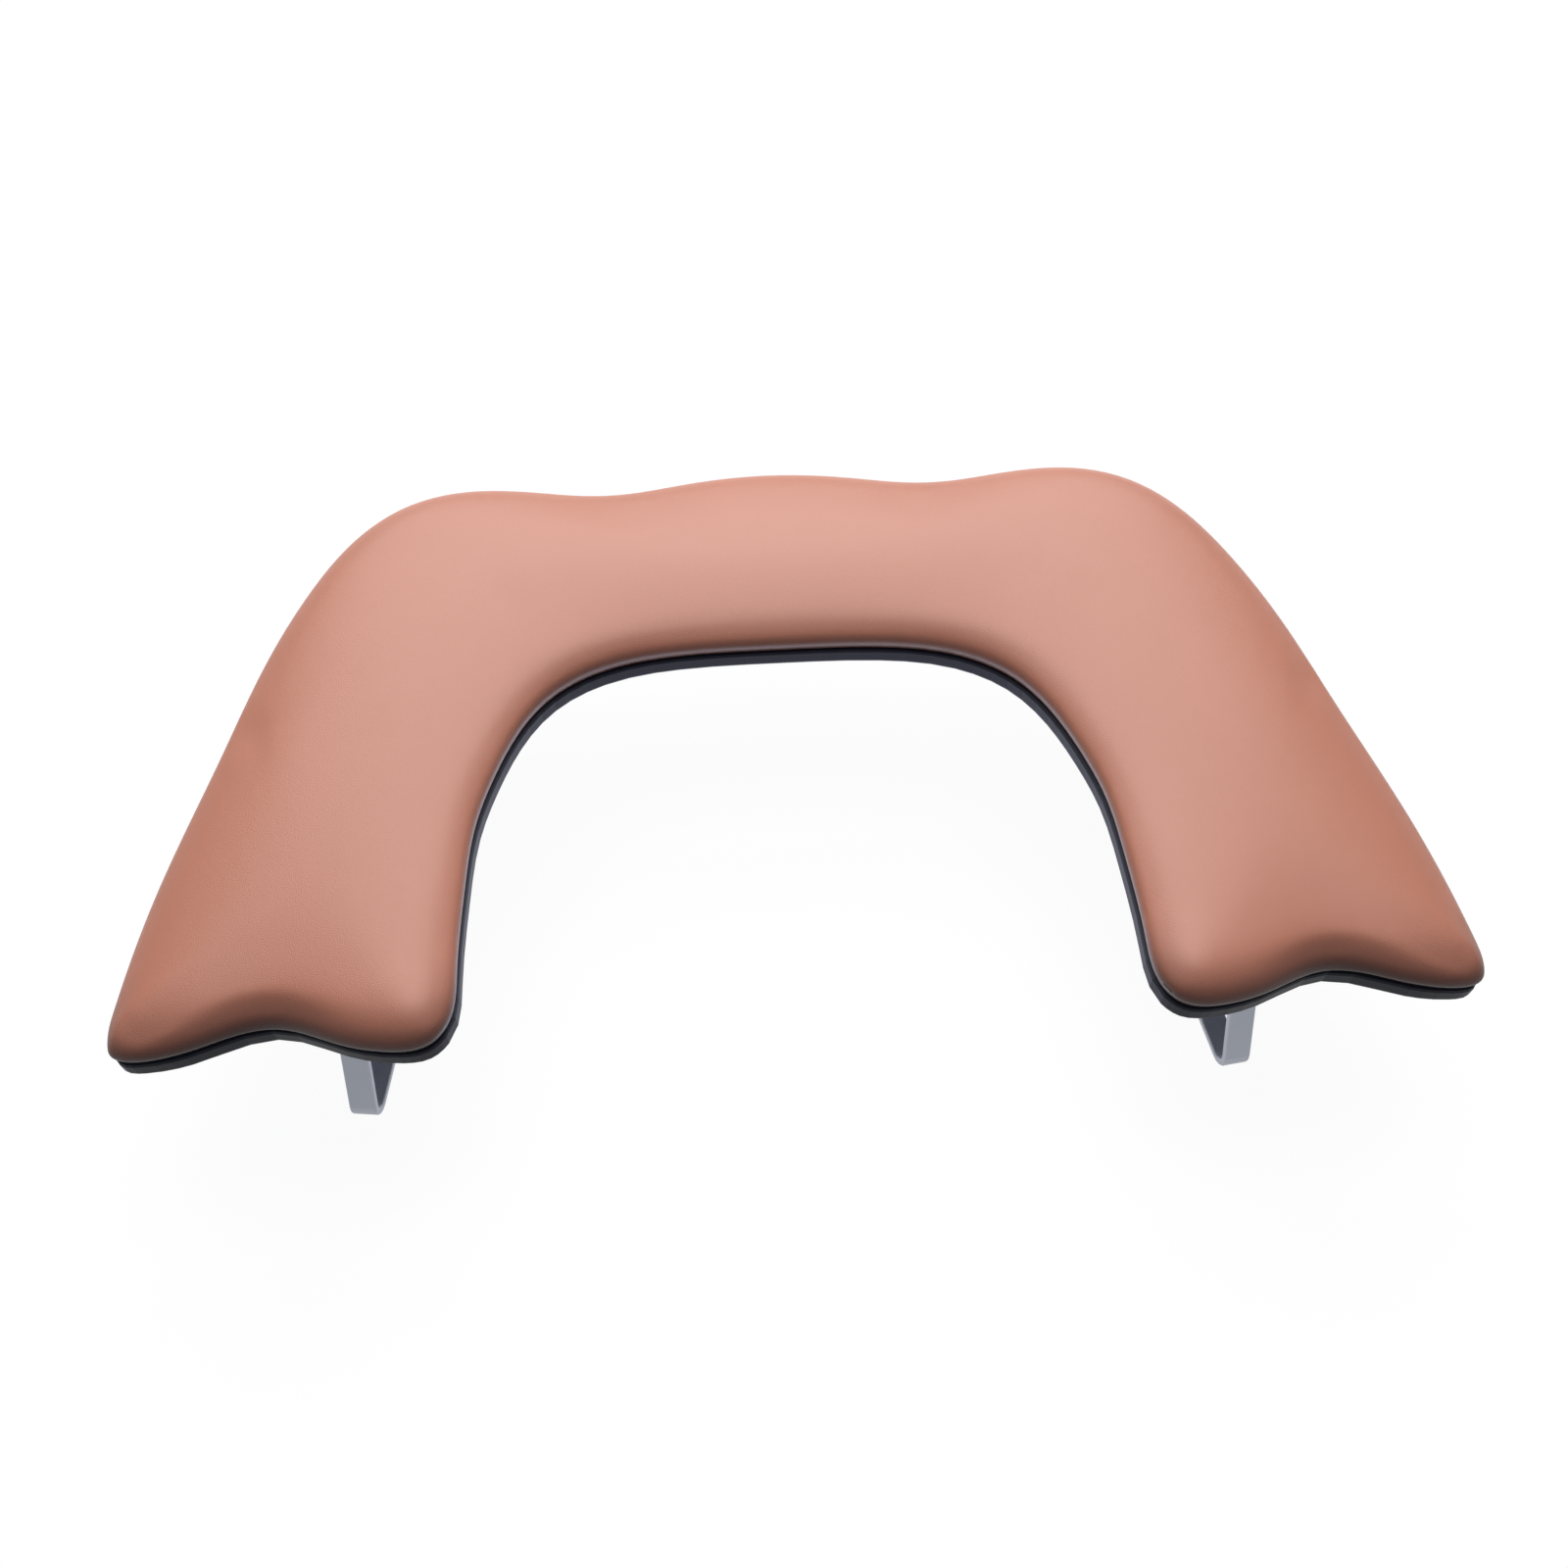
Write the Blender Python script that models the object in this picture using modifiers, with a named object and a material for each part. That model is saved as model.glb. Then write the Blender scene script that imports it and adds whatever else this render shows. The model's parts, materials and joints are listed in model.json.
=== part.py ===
"""U-shaped manicure hand rest: a crowned arm pad on a lacquered board, carried by two bent strip brackets.

X runs across the rest, Y from its open front to its back, and Z up from the table.
The origin is on the table, below the middle of the outline.
"""
import math

import bmesh
import bpy
import numpy as np
from mathutils import Matrix

OBJECT_NAME = "manicure_hand_rest"

# Outline of the board, seen from above
BOARD_WIDTH = 0.5030
BOARD_DEPTH = 0.2929
HAND_GAP = 0.2580
GAP_DEPTH = 0.1836
SHOULDER_WIDTH = 0.4204
TIP_NOTCH_X = 0.1950
TIP_NOTCH_DEPTH = 0.0122
BACK_HUMP_X = 0.1360
BACK_HUMP_DROP = 0.0027
BACK_VALLEY_X = 0.0770
BACK_VALLEY_DEPTH = 0.0098
BACK_MIDDLE_EASE = 0.0037
POINTS_PER_SPAN = 3
FINE_POINTS_PER_SPAN = 12

# Board and the panel under the foam
BOARD_THICKNESS = 0.0080
BOARD_EDGE_ROUND = 0.0015
BOARD_ROUND_STEPS = 1
PANEL_THICKNESS = 0.0030

# Leatherette cover
COVER_THICKNESS = 0.0010
COVER_OVERHANG = 0.0000
COVER_SIDE = 0.0050
COVER_FOLD = 0.0022
COVER_FOLD_STEPS = 3
HEM_WIDTH = 0.0060

# Pad: a rounded roll along the edge and a low dome inside it
EDGE_ROLL_WIDTH = 0.0170
EDGE_ROLL_HEIGHT = 0.0080
DOME_WIDTH = 0.0500
DOME_HEIGHT = 0.0036
STEPS_ALONG = 25
STEPS_ACROSS = 14
TIP_CROWDING = 0.86
TIP_CROWDING_POWER = 4

# Strip brackets
STRIP_WIDTH = 0.0110
STRIP_THICKNESS = 0.0030
STRIP_EDGE_BREAK = 0.0004
BEND_RADIUS = 0.0040
BEND_STEPS = 5
BRACKET_HEIGHT = 0.0724
BRACKET_FOOT_LENGTH = 0.2160
BRACKET_INSET = 0.0840
BRACKET_SETBACK = 0.0085
RISER_LEAN = math.radians(25.0)
TOE_IN = math.radians(7.0)
FLANGE_LENGTH = 0.0340

# Rubber pads under the feet
FOOT_PAD_LENGTH = 0.0280
FOOT_PAD_WIDTH = 0.0086
FOOT_PAD_THICKNESS = 0.0020
FOOT_PAD_EDGE = 0.0004
FOOT_PAD_END_GAP = 0.0120

# Pan-head wood screws
SHANK_RADIUS = 0.0018
HEAD_RADIUS = 0.0038
HEAD_HEIGHT = 0.0024
HEAD_EDGE = 0.0007
SCREW_POINT = 0.0030
SCREW_BITE = 0.0016
SCREW_STEPS = 16
DOME_STEPS = 3
FLANGE_SCREW_INSET = 0.0080
FLANGE_SCREW_PITCH = 0.0170
BACK_SCREW_SPREAD = 0.1180
BACK_SCREW_INSET = 0.0480

# Edges sharper than this are shown as edges
CREASE_ANGLE = math.radians(40.0)

# Clearances
CONTACT = 0.0003
SCREW_CLEARANCE = 0.0003
FOAM_CLEARANCE = 0.0009
PANEL_CLEARANCE = 0.0028

# Heights that follow from the sizes above
FOOT_BOTTOM = FOOT_PAD_THICKNESS + CONTACT
BRACKET_TOP = FOOT_BOTTOM + BRACKET_HEIGHT
BOARD_BOTTOM = BRACKET_TOP + CONTACT
BOARD_TOP = BOARD_BOTTOM + BOARD_THICKNESS
COVER_BOTTOM = BOARD_TOP + CONTACT
COVER_WIDEST = COVER_BOTTOM + COVER_SIDE
PANEL_BOTTOM = COVER_BOTTOM + COVER_THICKNESS + CONTACT
PANEL_TOP = PANEL_BOTTOM + PANEL_THICKNESS
FOAM_BOTTOM = PANEL_TOP + CONTACT
FLANGE_UNDERSIDE = BRACKET_TOP - STRIP_THICKNESS


def clear_scene():
    for existing in list(bpy.data.objects):
        bpy.data.objects.remove(existing, do_unlink=True)


def new_collection(name):
    collection = bpy.data.collections.new(name)
    bpy.context.scene.collection.children.link(collection)
    return collection


def linear(channel):
    """Linear light from an 8-bit sRGB channel."""
    share = channel / 255.0
    return share / 12.92 if share <= 0.04045 else ((share + 0.055) / 1.055) ** 2.4


def make_material(name, rgb, roughness, metallic=0.0):
    material = bpy.data.materials.new(name)
    material.use_nodes = True
    shader = material.node_tree.nodes["Principled BSDF"]
    shader.inputs["Base Color"].default_value = (*[linear(c) for c in rgb], 1.0)
    shader.inputs["Roughness"].default_value = roughness
    shader.inputs["Metallic"].default_value = metallic
    return material


def add_object(name, data, material, collection):
    piece = bpy.data.objects.new(name, data)
    collection.objects.link(piece)
    if not data.materials:
        data.materials.append(material)
    return piece


def half_outline():
    """Knots of the board's outline for X >= 0, from the arch, round the arm and on to the back."""
    side = BOARD_WIDTH / 2
    gap = HAND_GAP / 2
    front = -BOARD_DEPTH / 2
    back = BOARD_DEPTH / 2
    arch = front + GAP_DEPTH
    shoulder = SHOULDER_WIDTH / 2
    arch_curve = [
        (0.0, arch),
        (gap - 0.084, arch - 0.0012),
        (gap - 0.051, arch - 0.0081),
        (gap - 0.030, arch - 0.0215),
        (gap - 0.016, arch - 0.0420),
        (gap - 0.008, arch - 0.0630),
        (gap - 0.002, arch - 0.0870),
    ]
    inner_side = [(gap, arch - 0.1170), (gap, front + 0.0300)]
    arm_tip = [
        (gap + 0.0030, front + 0.0070),
        (gap + 0.0090, front + 0.0014),
        (gap + 0.0190, front),
        (gap + 0.0390, front + 0.0038),
        (TIP_NOTCH_X, front + TIP_NOTCH_DEPTH),
        (side - 0.0270, front + 0.0042),
        (side - 0.0110, front + 0.0018),
        (side - 0.0035, front + 0.0032),
        (side - 0.0004, front + 0.0095),
    ]
    outer_side = [
        (side, front + 0.0200),
        (side - 0.0050, front + 0.0700),
        (shoulder + 0.0243, back - 0.1600),
        (shoulder + 0.0145, back - 0.1100),
    ]
    shoulder_curve = [
        (shoulder, back - 0.0630),
        (shoulder - 0.0190, back - 0.0280),
        (shoulder - 0.0420, back - 0.0090),
    ]
    back_edge = [
        (BACK_HUMP_X, back - BACK_HUMP_DROP),
        ((BACK_HUMP_X + BACK_VALLEY_X) / 2, back - (BACK_HUMP_DROP + BACK_VALLEY_DEPTH) / 2),
        (BACK_VALLEY_X, back - BACK_VALLEY_DEPTH),
        (BACK_VALLEY_X / 2, back - BACK_MIDDLE_EASE),
        (0.0, back),
    ]
    knots = arch_curve + inner_side + arm_tip + outer_side + shoulder_curve + back_edge
    inner_corner = len(arch_curve) + len(inner_side)
    outer_corner = inner_corner + len(arm_tip) - 1
    return knots, inner_corner, outer_corner


def smooth_loop(knots, per_span):
    """A closed curve with continuous curvature through the knots, as points and unit normals."""
    knots = np.array(knots)
    ahead = np.roll(knots, -1, axis=0)
    span = np.linalg.norm(ahead - knots, axis=1)
    slope = (ahead - knots) / span[:, None]
    count = len(knots)
    system = np.zeros((count, count))
    for i in range(count):
        before = span[i - 1]
        system[i, i - 1] = 1 / before
        system[i, i] = 2 / before + 2 / span[i]
        system[i, (i + 1) % count] = 1 / span[i]
    pull = 3 * (np.roll(slope / span[:, None], 1, axis=0) + slope / span[:, None])
    tangent = np.linalg.solve(system, pull)
    points = []
    headings = []
    for i in range(count):
        start, end = knots[i], ahead[i]
        leave, arrive = tangent[i] * span[i], tangent[(i + 1) % count] * span[i]
        for step in range(per_span):
            t = step / per_span
            points.append(
                (2 * t**3 - 3 * t**2 + 1) * start
                + (t**3 - 2 * t**2 + t) * leave
                + (3 * t**2 - 2 * t**3) * end
                + (t**3 - t**2) * arrive
            )
            headings.append(
                6 * (t**2 - t) * (start - end) + (3 * t**2 - 4 * t + 1) * leave + (3 * t**2 - 2 * t) * arrive
            )
    points = np.array(points)
    headings = np.array(headings)
    headings /= np.linalg.norm(headings, axis=1)[:, None]
    inward = np.stack([-headings[:, 1], headings[:, 0]], axis=1)
    return points, inward


def outline_ring(inset, per_span=POINTS_PER_SPAN):
    """The whole outline, moved inwards by inset, running from the arch round the right arm first."""
    half, _, _ = half_outline()
    mirrored = [(-x, y) for x, y in reversed(half[1:-1])]
    points, inward = smooth_loop(half + mirrored, per_span)
    return points + inward * inset


def distance_to_ring(points, ring):
    """Shortest distance in plan from each point to the closed ring."""
    start = ring
    along = np.roll(ring, -1, axis=0) - start
    offset = points[:, None, :] - start[None, :, :]
    share = np.clip((offset * along).sum(2) / (along * along).sum(1), 0.0, 1.0)
    nearest = offset - share[:, :, None] * along
    return np.linalg.norm(nearest, axis=2).min(axis=1)


def spread(line, shares):
    """Points at the given shares of the length of a polyline."""
    length = np.concatenate([[0.0], np.cumsum(np.linalg.norm(np.diff(line, axis=0), axis=1))])
    want = np.asarray(shares) * length[-1]
    return np.stack([np.interp(want, length, line[:, axis]) for axis in (0, 1)], axis=1)


def pad_plan(inset):
    """Plan grid over the right half of the pad: rows run along the arm, columns from inner to outer edge."""
    ring = outline_ring(inset, FINE_POINTS_PER_SPAN)
    half, inner_corner, outer_corner = half_outline()
    inner_end = inner_corner * FINE_POINTS_PER_SPAN
    outer_end = outer_corner * FINE_POINTS_PER_SPAN
    back_end = (len(half) - 1) * FINE_POINTS_PER_SPAN
    even = np.linspace(0.0, 1.0, STEPS_ALONG + 1)
    along = even - TIP_CROWDING / (TIP_CROWDING_POWER + 1) * even ** (TIP_CROWDING_POWER + 1)
    along /= along[-1]
    across = (1 - np.cos(np.linspace(0.0, math.pi, STEPS_ACROSS + 1))) / 2
    inner = spread(ring[: inner_end + 1], along)
    outer = spread(ring[outer_end : back_end + 1][::-1], along)
    tip = spread(ring[inner_end : outer_end + 1], across)
    middle = inner[0] + across[:, None] * (outer[0] - inner[0])
    grid = np.zeros((STEPS_ALONG + 1, STEPS_ACROSS + 1, 2))
    for i, u in enumerate(along):
        for j, v in enumerate(across):
            edges = (1 - v) * inner[i] + v * outer[i] + (1 - u) * middle[j] + u * tip[j]
            corners = (1 - u) * ((1 - v) * inner[0] + v * outer[0]) + u * ((1 - v) * inner[-1] + v * outer[-1])
            grid[i, j] = edges - corners
    return grid, ring


def crown_height(distance, shrink):
    """Height of the pad above its widest line, at a distance in from the edge."""
    roll = np.clip(distance / EDGE_ROLL_WIDTH, 0.0, 1.0)
    dome = np.clip(distance / DOME_WIDTH, 0.0, 1.0)
    return (EDGE_ROLL_HEIGHT - shrink) * np.sqrt(1 - (1 - roll) ** 2) + DOME_HEIGHT * (1 - (1 - dome) ** 2)


def crown_surface(shrink):
    """An open bmesh over the whole pad, from a flat grid bent to the outline and raised to the crown."""
    grid, ring = pad_plan(shrink - COVER_OVERHANG)
    rows, columns = STEPS_ALONG + 1, STEPS_ACROSS + 1
    distance = distance_to_ring(grid.reshape(-1, 2), ring).reshape(rows, columns)
    distance[-1, :] = 0.0
    distance[:, 0] = 0.0
    distance[:, -1] = 0.0
    height = COVER_WIDEST + crown_height(distance, shrink)
    mesh = bmesh.new()
    bmesh.ops.create_grid(mesh, x_segments=2 * STEPS_ALONG, y_segments=STEPS_ACROSS, size=1.0)
    for vert in mesh.verts:
        column = round((vert.co.x + 1) * STEPS_ALONG)
        row = round((1 - vert.co.y) / 2 * STEPS_ACROSS)
        i = abs(column - STEPS_ALONG)
        side = -1 if column < STEPS_ALONG else 1
        x, y = grid[i, STEPS_ACROSS - row]
        vert.co = (side * x, y, height[i, STEPS_ACROSS - row])
    bmesh.ops.recalc_face_normals(mesh, faces=mesh.faces)
    if sum(face.normal.z for face in mesh.faces) < 0:
        bmesh.ops.reverse_faces(mesh, faces=mesh.faces)
    return mesh


def edge_inward(verts, mesh_edges):
    """Unit direction in plan from each rim vertex towards the pad's material."""
    neighbours = {vert: [] for vert in verts}
    for edge in mesh_edges:
        a, b = edge.verts
        neighbours[a].append((edge, b))
        neighbours[b].append((edge, a))
    inward = {}
    for vert, links in neighbours.items():
        total = np.zeros(2)
        for edge, _ in links:
            face = edge.link_faces[0]
            a, b = edge.verts
            run = np.array((b.co - a.co)[:2])
            across = np.array((-run[1], run[0])) / np.linalg.norm(run)
            middle = face.calc_center_median() - (a.co + b.co) / 2
            total += across if across @ np.array(middle[:2]) > 0 else -across
        inward[vert] = total / np.linalg.norm(total)
    return inward


def add_rings(mesh, rings):
    """Carry the open rim of the crown down through rings, each given as (inset, height)."""
    rim = [edge for edge in mesh.edges if edge.is_boundary]
    verts = {vert for edge in rim for vert in edge.verts}
    inward = edge_inward(verts, rim)
    base = {vert: (np.array(vert.co[:2]), inward[vert]) for vert in verts}
    for inset, height in rings:
        made = bmesh.ops.extrude_edge_only(mesh, edges=rim)["geom"]
        fresh = [item for item in made if isinstance(item, bmesh.types.BMVert)]
        lifted = {}
        for old, (place, direction) in base.items():
            new = next(v for v in (e.other_vert(old) for e in old.link_edges) if v in set(fresh))
            x, y = place + direction * inset
            new.co = (x, y, height)
            lifted[new] = (place, direction)
        base = lifted
        rim = [item for item in made if isinstance(item, bmesh.types.BMEdge) and item.is_boundary]
    return rim


def mesh_from(mesh, name):
    bmesh.ops.recalc_face_normals(mesh, faces=mesh.faces)
    data = bpy.data.meshes.new(name)
    mesh.to_mesh(data)
    mesh.free()
    return data


def make_cover(material, collection):
    """Leatherette skin over the foam, folded under the panel in a narrow hem."""
    surface = crown_surface(0.0)
    turns = [math.pi / 2 * step / COVER_FOLD_STEPS for step in range(1, COVER_FOLD_STEPS + 1)]
    rings = [(COVER_FOLD * (1 - math.cos(a)), COVER_WIDEST - COVER_SIDE * math.sin(a)) for a in turns]
    rings.append((COVER_FOLD + HEM_WIDTH, COVER_BOTTOM))
    add_rings(surface, rings)
    cover = add_object("leather_cover", mesh_from(surface, "leather_cover"), material, collection)
    wall = cover.modifiers.new("wall", "SOLIDIFY")
    wall.thickness = COVER_THICKNESS
    wall.offset = -1.0
    wall.use_even_offset = True
    cover.data.shade_smooth()
    return cover


def make_foam(material, collection):
    """Crowned foam core, flat on the panel and a clearance inside the cover."""
    surface = crown_surface(COVER_THICKNESS + FOAM_CLEARANCE)
    rim = add_rings(surface, [(0.0, FOAM_BOTTOM)])
    bmesh.ops.contextual_create(surface, geom=rim)
    foam = add_object("foam_core", mesh_from(surface, "foam_core"), material, collection)
    foam.data.shade_smooth()
    foam.data.set_sharp_from_angle(angle=CREASE_ANGLE)
    return foam


def curve_to_mesh(curve_object):
    """Replace a curve object by a mesh object with welded caps, at the same place."""
    bpy.context.view_layer.update()
    evaluated = curve_object.evaluated_get(bpy.context.evaluated_depsgraph_get())
    data = bpy.data.meshes.new_from_object(evaluated)
    mesh = bmesh.new()
    mesh.from_mesh(data)
    bmesh.ops.remove_doubles(mesh, verts=mesh.verts, dist=1e-6)
    bmesh.ops.recalc_face_normals(mesh, faces=mesh.faces)
    mesh.to_mesh(data)
    mesh.free()
    solid = bpy.data.objects.new(curve_object.name + "_solid", data)
    solid.matrix_world = curve_object.matrix_world
    for collection in curve_object.users_collection:
        collection.objects.link(solid)
    name = curve_object.name
    bpy.data.objects.remove(curve_object, do_unlink=True)
    solid.name = name
    return solid


def flat_plate(name, outline, thickness, edge_round, round_steps, material, collection):
    """A flat piece with the given closed outline and rounded edges, centred on its own plane."""
    curve = bpy.data.curves.new(name, "CURVE")
    curve.dimensions = "2D"
    curve.fill_mode = "BOTH"
    curve.extrude = thickness / 2 - edge_round
    curve.bevel_depth = edge_round
    curve.bevel_resolution = round_steps
    curve.offset = -edge_round
    spline = curve.splines.new("POLY")
    spline.points.add(len(outline) - 1)
    for point, (x, y) in zip(spline.points, outline):
        point.co = (x, y, 0.0, 1.0)
    spline.use_cyclic_u = True
    return curve_to_mesh(add_object(name, curve, material, collection))


def break_edges(piece, width):
    bevel = piece.modifiers.new("edges", "BEVEL")
    bevel.width = width
    bevel.segments = 1
    bevel.limit_method = "ANGLE"
    bevel.angle_limit = CREASE_ANGLE
    bevel.use_clamp_overlap = True


def drill(piece, places, radius, low, high, cutters):
    """Cut upright round holes through a piece at the given plan positions."""
    mesh = bmesh.new()
    depth = high - low
    for x, y in places:
        made = bmesh.ops.create_cone(
            mesh, cap_ends=True, segments=SCREW_STEPS, radius1=radius, radius2=radius, depth=depth
        )
        bmesh.ops.translate(mesh, verts=made["verts"], vec=(x, y, (low + high) / 2))
    data = bpy.data.meshes.new(piece.name + "_holes")
    mesh.to_mesh(data)
    mesh.free()
    cutter = bpy.data.objects.new(piece.name + "_holes", data)
    cutters.objects.link(cutter)
    cutter.hide_render = True
    cutter.display_type = "WIRE"
    cut = piece.modifiers.new("holes", "BOOLEAN")
    cut.object = cutter
    cut.solver = "EXACT"


def bracket_frame(side):
    """Plan centre of a bracket and the unit direction of its foot towards the back; side is -1 or 1."""
    front = -BOARD_DEPTH / 2 + BRACKET_SETBACK
    spacing = BOARD_WIDTH - 2 * BRACKET_INSET
    centre = np.array((side * spacing / 2, front + BRACKET_FOOT_LENGTH * math.cos(TOE_IN) / 2))
    direction = np.array((-side * math.sin(TOE_IN), math.cos(TOE_IN)))
    return centre, direction


def bracket_path():
    """Middle line of the bent strip in its own plane, from one flange end to the other."""
    half_thickness = STRIP_THICKNESS / 2
    low, high = half_thickness, BRACKET_HEIGHT - half_thickness
    foot = BRACKET_FOOT_LENGTH / 2
    top = foot - (high - low) * math.tan(RISER_LEAN)
    front = [(-(top - FLANGE_LENGTH), high), (-top, high), (-foot, low)]
    return front + [(-s, z) for s, z in reversed(front)]


def round_corners(path, radius, steps):
    """Replace each inner corner of a path by an arc of the given radius."""
    path = [np.array(point) for point in path]
    rounded = [path[0]]
    for before, corner, after in zip(path, path[1:], path[2:]):
        come = (corner - before) / np.linalg.norm(corner - before)
        leave = (after - corner) / np.linalg.norm(after - corner)
        turn = math.acos(np.clip(come @ leave, -1.0, 1.0))
        spin = math.copysign(1.0, come[0] * leave[1] - come[1] * leave[0])
        reach = radius * math.tan(turn / 2)
        centre = corner - come * reach + spin * radius * np.array((-come[1], come[0]))
        arm = corner - come * reach - centre
        for step in range(steps + 1):
            a = spin * turn * step / steps
            rotated = (arm[0] * math.cos(a) - arm[1] * math.sin(a), arm[0] * math.sin(a) + arm[1] * math.cos(a))
            rounded.append(centre + rotated)
    rounded.append(path[-1])
    return np.array(rounded)


def strip_section(middle):
    """Closed side outline of a strip of STRIP_THICKNESS along a middle line."""
    steps = np.diff(middle, axis=0)
    steps /= np.linalg.norm(steps, axis=1)[:, None]
    come = np.concatenate([steps[:1], steps])
    leave = np.concatenate([steps, steps[-1:]])
    normal = np.stack([-(come + leave)[:, 1], (come + leave)[:, 0]], axis=1)
    normal /= np.linalg.norm(normal, axis=1)[:, None]
    miter = np.sqrt(2 / (1 + (come * leave).sum(1)))
    shift = normal * (STRIP_THICKNESS / 2 * miter)[:, None]
    return np.concatenate([middle + shift, (middle - shift)[::-1]])


def flange_screw_stations():
    """Distances of the screws from the bracket's centre, along its foot."""
    top = -bracket_path()[1][0]
    outermost = top - FLANGE_SCREW_INSET
    return [outermost, outermost - FLANGE_SCREW_PITCH, FLANGE_SCREW_PITCH - outermost, -outermost]


def bracket_screw_places(side):
    centre, direction = bracket_frame(side)
    return [tuple(centre - direction * station) for station in flange_screw_stations()]


def back_screw_places():
    y = BOARD_DEPTH / 2 - BACK_SCREW_INSET
    return [(-BACK_SCREW_SPREAD, y), (0.0, y), (BACK_SCREW_SPREAD, y)]


def make_bracket(name, side, material, collection, cutters):
    """One strip bent into a trapezoid, wider at the foot, with its two flanges turned inwards."""
    centre, direction = bracket_frame(side)
    middle = round_corners(bracket_path(), BEND_RADIUS + STRIP_THICKNESS / 2, BEND_STEPS)
    section = strip_section(middle)
    bracket = flat_plate(name, section, STRIP_WIDTH, STRIP_EDGE_BREAK, 0, material, collection)
    bracket.rotation_euler = (math.pi / 2, 0.0, math.atan2(direction[1], direction[0]))
    bracket.location = (centre[0], centre[1], FOOT_BOTTOM)
    bpy.context.view_layer.update()
    bracket.data.transform(bracket.matrix_world)
    bracket.rotation_euler = (0.0, 0.0, 0.0)
    bracket.location = (0.0, 0.0, 0.0)
    margin = STRIP_THICKNESS
    low, high = FLANGE_UNDERSIDE - margin, BRACKET_TOP + margin
    drill(bracket, bracket_screw_places(side), SHANK_RADIUS + SCREW_CLEARANCE, low, high, cutters)
    bracket.data.shade_smooth()
    bracket.data.set_sharp_from_angle(angle=CREASE_ANGLE)
    return bracket


def make_foot_pads(prefix, side, material, collection):
    """Two rubber pads under the flat of a bracket's foot, one near each bend."""
    centre, direction = bracket_frame(side)
    flat = BRACKET_FOOT_LENGTH / 2 - FOOT_PAD_END_GAP - FOOT_PAD_LENGTH / 2
    for word, sign in (("front", -1), ("rear", 1)):
        place = centre + sign * flat * direction
        mesh = bmesh.new()
        bmesh.ops.create_cube(mesh, size=1.0)
        bmesh.ops.scale(mesh, vec=(FOOT_PAD_LENGTH, FOOT_PAD_WIDTH, FOOT_PAD_THICKNESS), verts=mesh.verts)
        name = prefix + "_" + word + "_foot_pad"
        data = bpy.data.meshes.new(name)
        mesh.to_mesh(data)
        mesh.free()
        pad = add_object(name, data, material, collection)
        pad.location = (place[0], place[1], FOOT_PAD_THICKNESS / 2)
        pad.rotation_euler[2] = math.atan2(direction[1], direction[0])
        break_edges(pad, FOOT_PAD_EDGE)


def screw_mesh(name, length):
    """Profile of a pan-head wood screw for a turned solid, bearing on z = 0 with its shank up."""
    dome = [
        (HEAD_RADIUS * math.cos(a), -HEAD_EDGE - (HEAD_HEIGHT - HEAD_EDGE) * math.sin(a))
        for a in np.linspace(0.0, math.pi / 2, DOME_STEPS + 1)
    ]
    profile = [(0.0, length), (SHANK_RADIUS, length - SCREW_POINT), (SHANK_RADIUS, 0.0), (HEAD_RADIUS, 0.0)]
    profile += dome[:-1] + [(0.0, -HEAD_HEIGHT)]
    data = bpy.data.meshes.new(name)
    edges = [(i, i + 1) for i in range(len(profile) - 1)]
    data.from_pydata([(r, 0.0, z) for r, z in profile], edges, [])
    return data


def add_screw(name, data, place, seat, material, collection):
    screw = add_object(name, data, material, collection)
    screw.location = (place[0], place[1], seat)
    turn = screw.modifiers.new("turn", "SCREW")
    turn.steps = SCREW_STEPS
    turn.render_steps = SCREW_STEPS
    turn.use_merge_vertices = True
    turn.merge_threshold = 0.00001
    turn.use_smooth_shade = True
    return screw


def make_screws(material, collection):
    """Screws through the flanges, and three through the board alone, all biting into the panel."""
    tip = PANEL_BOTTOM + SCREW_BITE
    flange_seat = FLANGE_UNDERSIDE - CONTACT
    board_seat = BOARD_BOTTOM - CONTACT
    long_screw = screw_mesh("flange_screw", tip - flange_seat)
    short_screw = screw_mesh("board_screw", tip - board_seat)
    for prefix, side in (("left", -1), ("right", 1)):
        for number, place in enumerate(bracket_screw_places(side), start=1):
            add_screw(f"{prefix}_bracket_screw_{number}", long_screw, place, flange_seat, material, collection)
    for word, place in zip(("left", "middle", "right"), back_screw_places()):
        add_screw(f"back_screw_{word}", short_screw, place, board_seat, material, collection)


def make_board(material, collection, cutters):
    """Lacquered board with rounded edges, drilled for every screw."""
    outline = outline_ring(0.0)
    name = "base_board"
    board = flat_plate(
        name, outline, BOARD_THICKNESS, BOARD_EDGE_ROUND, BOARD_ROUND_STEPS, material, collection
    )
    board.data.transform(Matrix.Translation((0.0, 0.0, (BOARD_BOTTOM + BOARD_TOP) / 2)))
    places = bracket_screw_places(-1) + bracket_screw_places(1) + back_screw_places()
    margin = BOARD_THICKNESS / 2
    radius = SHANK_RADIUS + SCREW_CLEARANCE
    drill(board, places, radius, BOARD_BOTTOM - margin, BOARD_TOP + margin, cutters)
    board.data.shade_smooth()
    board.data.set_sharp_from_angle(angle=CREASE_ANGLE)
    return board


def make_panel(material, collection, cutters):
    """Thin plywood panel that the foam lies on and the cover's hem is drawn round."""
    inset = COVER_THICKNESS + PANEL_CLEARANCE - COVER_OVERHANG
    panel = flat_plate("cushion_panel", outline_ring(inset), PANEL_THICKNESS, 0.0, 0, material, collection)
    panel.data.transform(Matrix.Translation((0.0, 0.0, (PANEL_BOTTOM + PANEL_TOP) / 2)))
    places = bracket_screw_places(-1) + bracket_screw_places(1) + back_screw_places()
    margin = PANEL_THICKNESS / 2
    radius = SHANK_RADIUS + SCREW_CLEARANCE
    drill(panel, places, radius, PANEL_BOTTOM - margin, PANEL_TOP + margin, cutters)
    return panel


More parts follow.
